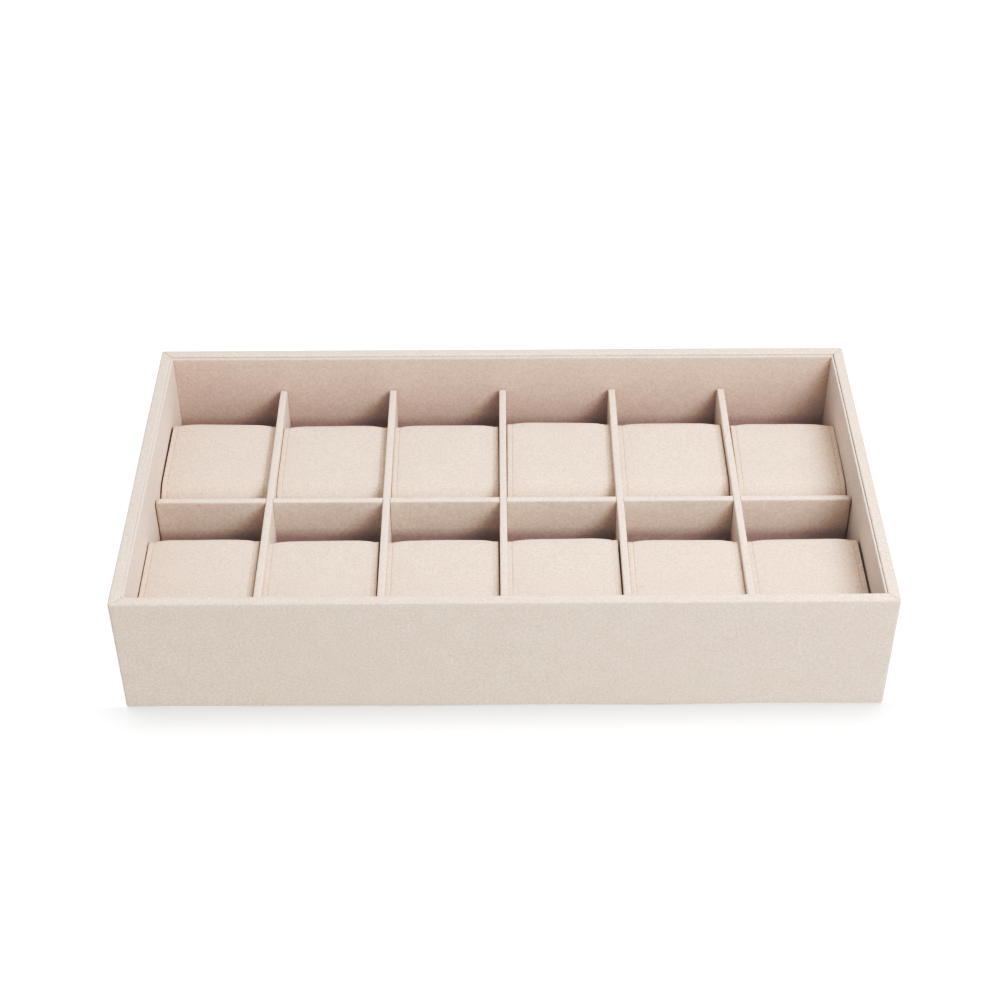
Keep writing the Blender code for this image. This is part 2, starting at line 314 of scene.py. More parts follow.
underLook = {
    "tone": (0.500, 0.430, 0.360), "shaded": (0.430, 0.365, 0.305), "blush": (0.465, 0.390, 0.330),
    "blotchScale": 60.0, "blotch": 0.7, "blushShare": 0.4, "grain": 0.2, "worn": (0.545, 0.480, 0.415),
    "fold": 0.3, "bump": 0.8,
}
# What all the cloths have alike, by the shader's own sockets
clothFinish = {
    "Specular IOR Level": 0.15, "Sheen Weight": 0.1, "Sheen Roughness": 0.6,
    "Sheen Tint": (1.0, 0.95, 0.9, 1),
}
reliefDepth = 0.2 * mm


def newMaterial(name):
    material = bpy.data.materials.new(name)
    material.use_nodes = True
    tree = material.node_tree
    where = put(tree, "ShaderNodeTexCoord").outputs["Object"]
    return material, tree, tree.nodes["Principled BSDF"].inputs, where


def suede(name, look):
    material, tree, surface, where = newMaterial(name)
    fold = put(tree, "ShaderNodeAttribute", attribute_name="fold").outputs["Fac"]
    color = put(tree, "ShaderNodeGroup", {
        "Vector": where, "Tone": (*look["tone"], 1), "Shaded Tone": (*look["shaded"], 1),
        "Blush Tone": (*look["blush"], 1), "Blotch Scale": look["blotchScale"],
        "Blotch Amount": look["blotch"], "Blush Amount": look["blushShare"],
        "Grain Amount": look["grain"]}, node_tree=clothGroups["nap"]).outputs["Color"]
    color = put(tree, "ShaderNodeGroup", {
        "Vector": where, "Color": color, "Worn Tone": (*look["worn"], 1), "Fold": fold,
        "Amount": look["fold"]}, node_tree=clothGroups["fold"]).outputs["Color"]
    # Painted shade low in the cells, for the looks that carry it
    if "paintedShade" in look:
        low, high = look["paintedShadeLevels"]
        color = put(tree, "ShaderNodeGroup", {
            "Vector": where, "Color": color, "Painted Shade Tone": (*look["paintedShade"], 1), "Low": low, "High": high,
        }, node_tree=clothGroups["shade"]).outputs["Color"]
    tree.links.new(color, surface["Base Color"])
    pile = put(tree, "ShaderNodeGroup", {"Vector": where}, node_tree=clothGroups["pile"]).outputs
    tree.links.new(pile["Roughness"], surface["Roughness"])
    bump = put(tree, "ShaderNodeBump", {
        "Strength": look["bump"], "Distance": reliefDepth, "Height": pile["Height"]})
    tree.links.new(bump.outputs["Normal"], surface["Normal"])
    for label, value in clothFinish.items():
        surface[label].default_value = value
    return material


boardLook = {
    "light": (0.46, 0.36, 0.25), "dark": (0.33, 0.25, 0.17), "strand": 900.0, "fleck": 2600.0,
    "strandStretch": (0.3, 1.0, 1.0), "fleckRange": (0.6, 0.7), "smoothest": 0.75, "roughSwing": 0.2,
    "bump": 0.5,
}


def pressedBoard(name, look):
    # Grey-brown fibreboard: matted strands with darker flecks
    material, tree, surface, where = newMaterial(name)
    drawn = vecCalc(tree, "MULTIPLY", where, look["strandStretch"])
    matted = noiseAt(tree, drawn, look["strand"], 5.0, 0.65, 1.0)
    flecks = spread(tree, noiseAt(tree, where, look["fleck"], 2.0, 0.5), *look["fleckRange"])
    share = calc(tree, "MAXIMUM", matted, flecks)
    color = mixColors(tree, share, (*look["light"], 1), (*look["dark"], 1))
    tree.links.new(color, surface["Base Color"])
    rough = calc(tree, "ADD", times(tree, matted, look["roughSwing"]), look["smoothest"])
    tree.links.new(rough, surface["Roughness"])
    bump = put(tree, "ShaderNodeBump", {
        "Strength": look["bump"], "Distance": reliefDepth, "Height": matted})
    tree.links.new(bump.outputs["Normal"], surface["Normal"])
    return material


outerSuede = suede("outerSuede", outerLook)
liningSuede = suede("liningSuede", liningLook)
leftLiningSuede = suede("leftLiningSuede", leftLiningLook)
rightLiningSuede = suede("rightLiningSuede", rightLiningLook)
dividerSuede = suede("dividerSuede", dividerLook)
cushionSuede = suede("cushionSuede", cushionLook)
underCloth = suede("underCloth", underLook)
boxBoard = pressedBoard("boxBoard", boardLook)
print("cloths and board are mixed")


# Objects
def addObject(name, data, material=None):
    obj = bpy.data.objects.new(name, data)
    scene.collection.objects.link(obj)
    if material is not None:
        data.materials.clear()
        data.materials.append(material)
    return obj


def meshFrom(bm, name):
    mesh = bpy.data.meshes.new(name)
    bm.to_mesh(mesh)
    bm.free()
    return mesh


def joinRows(bm, rows):
    # Faces between neighbouring closed rows of as many points each
    for row, following in zip(rows, rows[1:]):
        for i in range(len(row)):
            j = (i + 1) % len(row)
            bm.faces.new((row[i], row[j], following[j], following[i]))


def makePlain(obj):
    # The shape as its modifiers leave it becomes the mesh
    depsgraph = bpy.context.evaluated_depsgraph_get()
    mesh = bpy.data.meshes.new_from_object(obj.evaluated_get(depsgraph), depsgraph=depsgraph)
    obj.modifiers.clear()
    old = obj.data
    obj.data = mesh
    bpy.data.meshes.remove(old)
    return obj


def grow(name, tree, values, start=None):
    # Runs a geometry tree on a start mesh and keeps the plain result
    obj = addObject(name, start or bpy.data.meshes.new(name))
    modifier = obj.modifiers.new(tree.name, "NODES")
    modifier.node_group = tree
    for item in tree.interface.items_tree:
        if item.item_type == "SOCKET" and item.in_out == "INPUT" and item.name in values:
            modifier[item.identifier] = values[item.name]
    return makePlain(obj)


# The outer cloth: one skin that turns under the walls, runs up them, over the rim and down inside
wrapPlan = {
    "cloth": 0.6 * mm,
    "proud": 0.35 * mm,  # the cloth's nap stands this far outside the walls
    "rimRise": 0.25 * mm,
    "footDrop": 0.65 * mm,
    "rimRound": 0.8 * mm,
    "innerRound": 0.65 * mm,
    "footRound": 0.65 * mm,
    "cornerRound": 0.9 * mm,
    "leastRound": 0.05 * mm,
    "turnIn": 18 * mm,
    "hemWidth": 2.7 * mm,  # under the wall, up to the cloth beneath the base
    "spacing": 4.0 * mm,
    "arcSteps": 6,
    "hemSteps": 2,
    "rimSteps": 4,
    "turnInSteps": 4,
    "mitreHalf": 0.32 * mm,  # half the width of the dip where two walls' cloths meet
    "mitreDip": 0.6 * mm,
    "foldReach": 1.1 * mm,
    "sway": 0.14 * mm,
    "swayScale": 14.0,
    "ripple": 0.05 * mm,
    "rippleScale": 130.0,
}


def arcPoints(centre, radius, start, end, steps):
    angles = [math.radians(start + (end - start) * step / steps) for step in range(steps + 1)]
    return [(centre[0] + radius * math.cos(a), centre[1] + radius * math.sin(a)) for a in angles]


def between(start, end, count):
    # Points strictly between two ends
    shares = [(i + 1) / (count + 1) for i in range(count)]
    return [tuple(s + (e - s) * share for s, e in zip(start, end)) for share in shares]


def wrapSection(plan):
    # (inward, up) round the cloth's section: the seen side going in, then the board's side coming back
    low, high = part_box("front_wall_wrap")
    wall = high.y - low.y
    face, top, bottom = -plan["proud"], high.z + plan["rimRise"], low.z - plan["footDrop"]
    hemEnd, cloth, steps = plan["hemWidth"], plan["cloth"], plan["arcSteps"]
    footRound, rimRound, innerRound = plan["footRound"], plan["rimRound"], plan["innerRound"]
    foot = (face + footRound, bottom + footRound)
    outerRim = (face + rimRound, top - rimRound)
    innerRim = (wall - innerRound, top - innerRound)
    tuckEnd = top - plan["turnIn"]
    rise = round((top - bottom) / plan["spacing"])
    seen = [(hemEnd, bottom)] + between((hemEnd, bottom), (foot[0], bottom), plan["hemSteps"])
    seen += arcPoints(foot, footRound, 270, 180, steps)
    seen += between((face, foot[1]), (face, outerRim[1]), rise)
    seen += arcPoints(outerRim, rimRound, 180, 90, steps)
    seen += between((outerRim[0], top), (innerRim[0], top), plan["rimSteps"])
    seen += arcPoints(innerRim, innerRound, 90, 0, steps)
    seen += between((wall, innerRim[1]), (wall, tuckEnd), plan["turnInSteps"]) + [(wall, tuckEnd)]
    hidden = [(wall - cloth, tuckEnd)]
    hidden += arcPoints(innerRim, innerRound - cloth, 0, 90, steps)
    hidden += arcPoints(outerRim, rimRound - cloth, 90, 180, steps)
    hidden += between((face + cloth, outerRim[1]), (face + cloth, foot[1]), rise)
    hidden += arcPoints(foot, footRound - cloth, 180, 270, steps)
    hidden += [(hemEnd, bottom + cloth)]
    return seen, hidden


def ringAt(inward, plan):
    # Points round the box at one distance in from its walls, of one count at every distance
    radius = max(plan["cornerRound"] - inward, plan["leastRound"])
    mitre, steps = plan["mitreHalf"], plan["arcSteps"]
    points = []
    for side in range(4):
        along, out = (halfLength, halfDepth) if side % 2 == 0 else (halfDepth, halfLength)
        span = along - inward - radius
        out -= inward
        count = round(2 * along / plan["spacing"])
        places = [-span, mitre - span, 2 * mitre - span]
        places += [p for p, in between((2 * mitre - span,), (span - 2 * mitre,), count)]
        places += [span - 2 * mitre, span - mitre, span]
        local = [(place, -out) for place in places]
        local += arcPoints((span, radius - out), radius, -90, 0, steps)[1:-1]
        for x, y in local:
            for quarter in range(side):
                x, y = -y, x
            points.append((x, y))
    return points


def rimFold(inward, up, plan):
    # 1 on the crease of the cloth over the rim's outer edge, fading to 0 on the flats
    edge = plan["foldReach"]
    fromTop = rimLevel + plan["rimRise"] - up
    fromFace = inward + plan["proud"]
    return max(0.0, 1 - abs(fromTop - fromFace) / edge) if max(fromTop, fromFace) < edge else 0.0


def buildWrap(plan):
    seen, hidden = wrapSection(plan)
    bm = bmesh.new()
    foldLayer = bm.verts.layers.float.new("fold")
    rows = []
    for inward, up in seen + hidden:
        row = []
        for x, y in ringAt(inward, plan):
            fromX, fromY = halfLength - abs(x), halfDepth - abs(y)
            offMitre = abs(fromX - fromY) / math.sqrt(2)
            onRim = up > rimLevel - plan["rimRound"] - plan["cloth"]
            dip = plan["mitreDip"] * max(0.0, 1 - offMitre / plan["mitreHalf"]) if onRim else 0.0
            vert = bm.verts.new((x, y, up - dip))
            vert[foldLayer] = max(rimFold(inward, up, plan), dip / plan["mitreDip"])
            row.append(vert)
        rows.append(row)
    joinRows(bm, rows + rows[:1])
    bmesh.ops.recalc_face_normals(bm, faces=bm.faces)
    bm.normal_update()
    for vert in bm.verts:
        slow = noise.noise(vert.co * plan["swayScale"]) * plan["sway"]
        quick = noise.noise(vert.co * plan["rippleScale"]) * plan["ripple"]
        vert.co += vert.normal * (slow + quick)
    mesh = meshFrom(bm, "outerWrap")
    mesh.shade_smooth()
    wrap = addObject("outerWrap", mesh, outerSuede)
    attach(wrap, "tray")
    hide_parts(*[side + "_wall_wrap" for side in wallNames])


buildWrap(wrapPlan)
print("outer cloth is drawn over the walls")


# Covered cards: linings and dividers share one tree, which rounds a card and can repeat it
cardPlan = {
    "liningEdge": {"front": 0.75 * mm, "right": 0.45 * mm, "back": 0.75 * mm, "left": 0.7 * mm},
    "liningCorner": 0.8 * mm,
    "liningLap": 1.6 * mm,  # how far a long lining runs past the face of a short one
    "liningGrow": {"front": 0.15 * mm, "right": 0.1 * mm, "back": 0.05 * mm, "left": 0.5 * mm},
    "liningRise": {"left": 0.3 * mm},  # the left lining is pressed hardest against the outer cloth
    "sideThinning": 0.7 * mm,  # the side linings are thinner cards than the long ones
    "endGap": 0.35 * mm,  # between the long divider and the linings
    "dividerEdge": 0.8 * mm,
    "dividerGrow": 0.3 * mm,
    "dividerCorner": 2.2 * mm,
    "bow": 0.22 * mm,
    "ripple": 0.05 * mm,
    "slotClearance": 0.3 * mm,
    "slotReach": 4 * mm,  # how far the slots' cutters pass the card
    "sharpFrom": 50,  # degrees between two faces
    "rows": (9, 61, 31),  # of points across, along and up a card
    "edgeGain": 3.4,  # brings the wear to 1 halfway round an edge
    "bowScale": 16.0,
    "rippleScale": 170.0,
}


def coveredCardTree(plan):
    tree, given, result = newTree("GeometryNodeTree", "coveredCard", (
        ("Thickness", "Float", 3.4 * mm),
        ("Length", "Float", 180 * mm),
        ("Height", "Float", 43 * mm),
        ("Edge Radius", "Float", 0.8 * mm),
        ("Corner Radius", "Float", 2.0 * mm),
        ("Turn", "Vector", (0, 0, 0)),
        ("Place", "Vector", (0, 0, 0)),
        ("Copies", "Int", 1),
        ("Pitch", "Float", 0.0),
        ("Bow", "Float", 0.2 * mm),
        ("Ripple", "Float", 0.05 * mm),
        ("Cloth", "Material", None),
    ), (("Geometry", "Geometry"),))
    sides = dict(zip(("Vertices X", "Vertices Y", "Vertices Z"), plan["rows"]))
    cube = first(tree, "GeometryNodeMeshCube", {"Size": (2.0, 2.0, 2.0), **sides})
    # The unit cube's rows are drawn towards its edges, where the rounding needs them
    unit = first(tree, "GeometryNodeInputPosition")
    dense = vecCalc(tree, "SINE", scaled(tree, unit, math.pi / 2))
    halves = [times(tree, given[key], 0.5) for key in ("Thickness", "Length", "Height")]
    x, y, z = [times(tree, a, b) for a, b in zip(parts(tree, dense), halves)]
    # Seen from the side, the outline's four corners are rounded: a square ring becomes a round one
    corner = given["Corner Radius"]
    cores = []
    for value, half in ((y, halves[1]), (z, halves[2])):
        core = clamped(tree, value, calc(tree, "SUBTRACT", half, corner))
        cores.append((core, calc(tree, "SUBTRACT", value, core)))
    (coreY, overY), (coreZ, overZ) = cores
    reach = calc(tree, "MAXIMUM", calc(tree, "ABSOLUTE", overY), calc(tree, "ABSOLUTE", overZ))
    heading = vecCalc(tree, "NORMALIZE", joined(tree, 0.0, overY, overZ))
    # Then the edge between that outline and the card's face
    edge = given["Edge Radius"]
    outlineLimit = calc(tree, "SUBTRACT", corner, edge)
    faceLimit = calc(tree, "SUBTRACT", halves[0], edge)
    coreReach = calc(tree, "MINIMUM", reach, outlineLimit)
    coreX = clamped(tree, x, faceLimit)
    past = joined(tree, calc(tree, "SUBTRACT", x, coreX), calc(tree, "SUBTRACT", reach, coreReach))
    outX, outReach = parts(tree, vecCalc(tree, "NORMALIZE", past))[:2]
    finalX = calc(tree, "ADD", coreX, times(tree, outX, edge))
    finalReach = calc(tree, "ADD", coreReach, times(tree, outReach, edge))
    skirt = scaled(tree, heading, finalReach)
    base = joined(tree, finalX, coreY, coreZ)
    # How much a point turns away from the card's flats, for the wear along folds
    flatness = calc(tree, "MAXIMUM", calc(tree, "ABSOLUTE", outX), calc(tree, "ABSOLUTE", outReach))
    foldShare = times(tree, calc(tree, "SUBTRACT", 1.0, flatness), plan["edgeGain"])
    marked = first(tree, "GeometryNodeStoreNamedAttribute", {
        "Geometry": cube, "Name": "fold", "Value": foldShare}, data_type="FLOAT", domain="POINT")
    shaped = first(tree, "GeometryNodeSetPosition", {
        "Geometry": marked, "Position": vecCalc(tree, "ADD", base, skirt)})
    stood = first(tree, "GeometryNodeTransform", {"Geometry": shaped, "Rotation": given["Turn"]})
    # Copies stand side by side, centred on the place
    count = calc(tree, "SUBTRACT", given["Copies"], 1.0)
    firstX = times(tree, times(tree, count, given["Pitch"]), -0.5)
    start = vecCalc(tree, "ADD", given["Place"], joined(tree, firstX))
    stride = joined(tree, given["Pitch"])
    line = first(tree, "GeometryNodeMeshLine", {
        "Count": given["Copies"], "Start Location": start, "Offset": stride})
    copies = first(tree, "GeometryNodeInstanceOnPoints", {"Points": line, "Instance": stood})
    real = first(tree, "GeometryNodeRealizeInstances", {"Geometry": copies})
    # No card is dead flat: a slow bow and a small ripple, both along its own faces' normals
    spot = first(tree, "GeometryNodeInputPosition")
    slow = calc(tree, "SUBTRACT", noiseAt(tree, spot, plan["bowScale"], 1.0), 0.5)
    quick = calc(tree, "SUBTRACT", noiseAt(tree, spot, plan["rippleScale"], 2.0), 0.5)
    normal = first(tree, "GeometryNodeInputNormal")
    amount = times(tree, quick, given["Ripple"])
    rippled = scaled(tree, normal, times(tree, amount, 2.0))
    side = vecCalc(tree, "NORMALIZE", first(tree, "ShaderNodeVectorRotate", {
        "Vector": (1.0, 0.0, 0.0), "Rotation": given["Turn"]}, rotation_type="EULER_XYZ"))
    bow = times(tree, slow, given["Bow"])
    bowed = scaled(tree, side, times(tree, bow, 2.0))
    bent = first(tree, "GeometryNodeSetPosition", {
        "Geometry": real, "Offset": vecCalc(tree, "ADD", rippled, bowed)})
    smooth = first(tree, "GeometryNodeSetShadeSmooth", {"Geometry": bent})
    dressed = first(tree, "GeometryNodeSetMaterial", {
        "Geometry": smooth, "Material": given["Cloth"]})
    tree.links.new(dressed, result["Geometry"])
    return tree


cardTree = coveredCardTree(cardPlan)


def card(name, nodes, cloth, edge, corner, copies=1, pitch=0.0,
         grown=(0, 0, 0), shift=(0, 0, 0)):
    # A card in the place of its node, or a row of them whose first and last nodes are given
    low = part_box(nodes[0])[0]
    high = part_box(nodes[-1])[1]
    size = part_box(nodes[0])[1] - low + Vector(grown)
    turned = size.x > size.y
    made = grow(name, cardTree, {
        "Thickness": size.y if turned else size.x,
        "Length": size.x if turned else size.y,
        "Height": size.z,
        "Edge Radius": edge,
        "Corner Radius": corner,
        "Turn": (0, 0, math.pi / 2 if turned else 0),
        "Place": (low + high) / 2 + Vector(shift),
        "Copies": copies,
        "Pitch": pitch,
        "Bow": cardPlan["bow"],
        "Ripple": cardPlan["ripple"],
        "Cloth": cloth,
    })
    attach(made, "tray")
    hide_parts(*nodes)
    return made


def boxAt(bm, low, high):
    made = bmesh.ops.create_cube(bm, size=1.0)["verts"]
    bmesh.ops.scale(bm, vec=high - low, verts=made)
    bmesh.ops.translate(bm, vec=(low + high) / 2, verts=made)


def cutSlots(obj, fromTop):
    # Half-laps: the cross dividers are slotted from below and the long one from above
    longLow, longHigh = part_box("long_divider")
    slack, reach = cardPlan["slotClearance"], cardPlan["slotReach"]
    middle = (longLow.z + longHigh.z) / 2
    bm = bmesh.new()
    for name in crossNames:
        low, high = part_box(name)
        corner = Vector((low.x - slack, longLow.y - slack, longLow.z - reach))
        opposite = Vector((high.x + slack, longHigh.y + slack, middle + slack / 2))
        if fromTop:
            corner.z, opposite.z = middle - slack / 2, longHigh.z + reach
            corner.y -= reach
            opposite.y += reach
        else:
            corner.x -= reach
            opposite.x += reach
        boxAt(bm, corner, opposite)
    cutter = addObject("slotCutter", meshFrom(bm, "slotCutter"))
    cut = obj.modifiers.new("halfLaps", "BOOLEAN")
    cut.operation = "DIFFERENCE"
    cut.object = cutter
    makePlain(obj)
    obj.data.set_sharp_from_angle(angle=math.radians(cardPlan["sharpFrom"]))
    bpy.data.objects.remove(cutter)


def buildCards():
    lap = cardPlan["liningLap"]
    cloths = {"left": leftLiningSuede, "right": rightLiningSuede}
    outward = {"front": (0, -1), "right": (1, 0), "back": (0, 1), "left": (-1, 0)}
    for side in wallNames:
        x, y = outward[side]
        extra, rise = cardPlan["liningGrow"][side], cardPlan["liningRise"].get(side, 0.0)
        thinning = 0 if y else cardPlan["sideThinning"]
        thicker, outer = extra - thinning, extra + thinning
        grown = (2 * lap if y else thicker, thicker if y else 0, rise)
        card(side + "Lining", [side + "_lining"], cloths.get(side, liningSuede),
             cardPlan["liningEdge"][side], cardPlan["liningCorner"], grown=grown,
             shift=(x * outer / 2, y * outer / 2, rise / 2))
    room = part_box("right_lining")[0].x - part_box("long_divider")[1].x + cardPlan["sideThinning"]
    longDivider = card("longDivider", ["long_divider"], dividerSuede,
                       cardPlan["dividerEdge"], cardPlan["dividerCorner"],
                       grown=(2 * (room - cardPlan["endGap"]), 0, 0))
    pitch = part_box(crossNames[1])[0].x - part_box(crossNames[0])[0].x
    cross = card("crossDividers", crossNames, dividerSuede,
                 cardPlan["dividerEdge"], cardPlan["dividerCorner"], len(crossNames), pitch,
                 grown=(cardPlan["dividerGrow"], 0, 0))
    cutSlots(longDivider, True)
    cutSlots(cross, False)


buildCards()
print("linings and dividers are covered")


# Cushions: a padded body sewn between two end panels with rolled edges
cushionPlan = {
    "backRound": 3.5 * mm,
    "frontRound": 14.0 * mm,
    "baseRound": 8.0 * mm,
    "topFall": 1.2 * mm,
    "crown": 0.8 * mm,
    "airSwell": 0.4 * mm,  # the part of the crown that air pressure makes
    "crownPower": 3.0,
    "endReach": 0.35 * mm,  # the body runs this far over the inner edge of its end strips
    "tuck": 0.45 * mm,
    "seamWear": 0.7 * mm,  # reach of the darker tone beside the seam
    "cornerSoft": 2.2 * mm,  # how much rounder the back edge gets at the cushion's ends
    "seamSteps": (0.25 * mm, 0.8 * mm),  # rings close to the seam, which hold its edge
    "seamMargin": 0.1 * mm,
    "endRings": (0.75, 0.5, 0.25, 0),  # how far towards the middle the end faces' rings are drawn
    "endPower": 8,  # how late the back edge's softening sets in
    "fadePower": 4,  # how late crown and unevenness fade towards the ends
    "sideSwell": 0.8 * mm,
    "cornerSteps": 24,
    "outlineShare": 0.9,  # a rounded outline's length, as a share of its box's
    "outlineStep": 2.6 * mm,
    "stripStep": 1.2 * mm,
    "ringStep": 2.8 * mm,
    "simScale": 10.0,  # the cloth solver works best on things of half a metre
    "frames": 20,
    "pressure": 4.0,
    "pressureStep": 0.04,  # between neighbouring cushions, as a share
    "heldBelow": 1 * mm,
    "cloth": {
        "quality": 6, "mass": 0.3, "tension_stiffness": 15, "compression_stiffness": 15,
        "shear_stiffness": 5, "bending_stiffness": 2, "use_pressure": True,
    },
    "stripWidth": 2.8 * mm,
    "stripDepth": 1.8 * mm,
    "stripRound": 0.5 * mm,
    "stripReach": 26.55 * mm,  # from the cushion's middle to the middle of the strip
    "stripDrop": 0.12 * mm,  # below the body's end
    "fuller": {"front": (0.9 * mm, 0.7 * mm)},  # the front row is padded further back and higher
    "outward": {"1": -0.45 * mm, "6": 0.45 * mm},  # the end cushions sit close to the side linings
    "unevenness": 0.25 * mm,
    "unevenAbove": 2 * mm,
    "unevenShift": (7.3, 3.1, 0),
    "unevenScale": 45.0,
    "grainRelief": 0.03 * mm,
    "grainScale": 420.0,
}


def cushionSizes(plan, row):
    # From a cushion that stands almost square in its cell
    low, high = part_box("back_cushion_2")
    further, higher = plan["fuller"].get(row, (0.0, 0.0))
    return {
        "halfWidth": (high.x - low.x) / 2,
        "depth": high.y - low.y + further,
        "height": high.z - low.z + higher,
        "further": further,
    }


def sideOutline(plan, sizes, inset, step, endShare=1.0):
    # (back, up) round a cushion seen from its side, evenly spaced, drawn in by inset but underneath
    half = sizes["depth"] / 2 - plan["sideSwell"] - inset
    top = sizes["height"] - inset
    back = plan["backRound"] + plan["cornerSoft"] * endShare - inset
    front, base = plan["frontRound"] - inset, plan["baseRound"]
    corners = (
        ((half - back, top - back), back, 0),
        ((front - half, top - front), front, 90),
        ((base - half, base), base, 180),
        ((half - base, base), base, 270),
    )
    dense = []
    for centre, radius, start in corners:
        dense += arcPoints(centre, radius, start, start + 90, plan["cornerSteps"])
    closed = [Vector(p) for p in dense + dense[:1]]
    runs = [(b - a).length for a, b in zip(closed, closed[1:])]
    total = sum(runs)
    count = 4 * round(2 * (sizes["depth"] + sizes["height"]) * plan["outlineShare"] / step / 4)
    spaced, index, passed = [], 0, 0.0
    for number in range(count):
        goal = total * number / count
        while passed + runs[index] < goal:
            passed += runs[index]
            index += 1
        spaced.append(closed[index].lerp(closed[index + 1], (goal - passed) / max(runs[index], 1e-9)))
    shaped = []
    for point in spaced:
        share = point.y / sizes["height"]
        swell = plan["sideSwell"] * math.sin(math.pi * share) * point.x / half
        fall = plan["topFall"] * share * (half - point.x) / (2 * half)
        shaped.append((point.x + swell, point.y - fall))
    return shaped


def padMesh(name, plan, sizes, seed):
    # Straight rings between the seams, and end faces that close towards their middle
    half = sizes["halfWidth"] + plan["endReach"]
    tucked = sideOutline(plan, sizes, plan["crown"] + plan["tuck"], plan["outlineStep"])
    inner = half - plan["seamSteps"][-1]
    count = round(2 * inner / plan["ringStep"])
    places = [half - step for step in plan["seamSteps"][:-1]]
    places += [inner - 2 * inner * i / count for i in range(count + 1)]
    places += [step - half for step in reversed(plan["seamSteps"][:-1])]
    middle = Vector((0.0, sizes["height"] / 2))
    shares = plan["endRings"]
    rings = [(half, [Vector(p).lerp(middle, share) for p in tucked]) for share in shares]
    for place in places:
        share = abs(place) / half
        inset = plan["airSwell"] + (plan["crown"] - plan["airSwell"]) * share ** plan["crownPower"]
        softening = share ** plan["endPower"]
        rings.append((place, sideOutline(plan, sizes, inset, plan["outlineStep"], softening)))
    rings += [(-half, [Vector(p).lerp(middle, share) for p in tucked]) for share in reversed(shares)]
    bm = bmesh.new()
    foldLayer = bm.verts.layers.float.new("fold")
    rows = [[bm.verts.new((x, p[0], p[1])) for p in outline] for x, outline in rings]
    for row in rows:
        for vert in row:
            vert[foldLayer] = max(0.0, 1 - (half - abs(vert.co.x)) / plan["seamWear"])
    joinRows(bm, rows)
    bm.faces.new(rows[0])
    bm.faces.new(rows[-1])
    bmesh.ops.recalc_face_normals(bm, faces=bm.faces)
    seamReach = inner - plan["seamMargin"]
    for vert in bm.verts:
        if abs(vert.co.x) < seamReach and vert.co.z > plan["unevenAbove"]:
            fade = 1 - (abs(vert.co.x) / half) ** plan["fadePower"]
            spot = vert.co * plan["unevenScale"] + Vector([seed * s for s in plan["unevenShift"]])
            vert.co += vert.normal * noise.noise(spot) * plan["unevenness"] * fade
    return meshFrom(bm, name), seamReach


def inflate(pads, plan):
    # The seams and the underside hold still while air pressure swells the cloth between them
    scale = plan["simScale"]
    starts = {}
    for number, (pad, seamReach) in enumerate(pads):
        starts[pad.name] = [v.co.copy() for v in pad.data.vertices]
        held = pad.vertex_groups.new(name="held")
        for vert in pad.data.vertices:
            if abs(vert.co.x) >= seamReach or vert.co.z < plan["heldBelow"]:
                held.add([vert.index], 1.0, "REPLACE")
        pad.data.transform(Matrix.Scale(scale, 4))
        cloth = pad.modifiers.new("pressure", "CLOTH")
        for key, value in plan["cloth"].items():
            setattr(cloth.settings, key, value)
        cloth.settings.uniform_pressure_force = plan["pressure"] * (
            1 + plan["pressureStep"] * (number % 5 - 2))
        cloth.settings.effector_weights.gravity = 0
        cloth.settings.vertex_group_mass = "held"
        cloth.point_cache.frame_start = 1
        cloth.point_cache.frame_end = plan["frames"]
    for number in range(1, plan["frames"] + 1):
        scene.frame_set(number)
    depsgraph = bpy.context.evaluated_depsgraph_get()
    for pad, seamReach in pads:
        evaluated = pad.evaluated_get(depsgraph).data
        ends = [v.co / scale for v in evaluated.vertices]
        start = starts[pad.name]
        moves = [e - s for s, e in zip(start, ends)]
        most = max(m.z for m in moves)
        gain = plan["airSwell"] / max(most, 1e-6)
        print(pad.name, "swelled", round(most / mm, 3), "mm, taken times", round(gain, 3))
        pad.modifiers.clear()
        for vert, s, move in zip(pad.data.vertices, start, moves):
            vert.co = s + move * gain
        pad.vertex_groups.clear()
    scene.frame_set(1)


def seatOf(name):
    # Where a cushion has settled, read from its two end caps
    leftLow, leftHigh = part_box(name + "_left_cap")
    rightLow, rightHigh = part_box(name + "_right_cap")
    left, right = (leftLow + leftHigh) / 2, (rightLow + rightHigh) / 2
    run = right - left
    turn = math.atan2(run.y, run.x)
    tilt = math.atan2(-run.z, run.x)
    foot = (left + right) / 2
    foot.z = (leftLow.z + rightLow.z) / 2
    return Matrix.Translation(foot) @ Matrix.Rotation(turn, 4, "Z") @ Matrix.Rotation(tilt, 4, "Y")


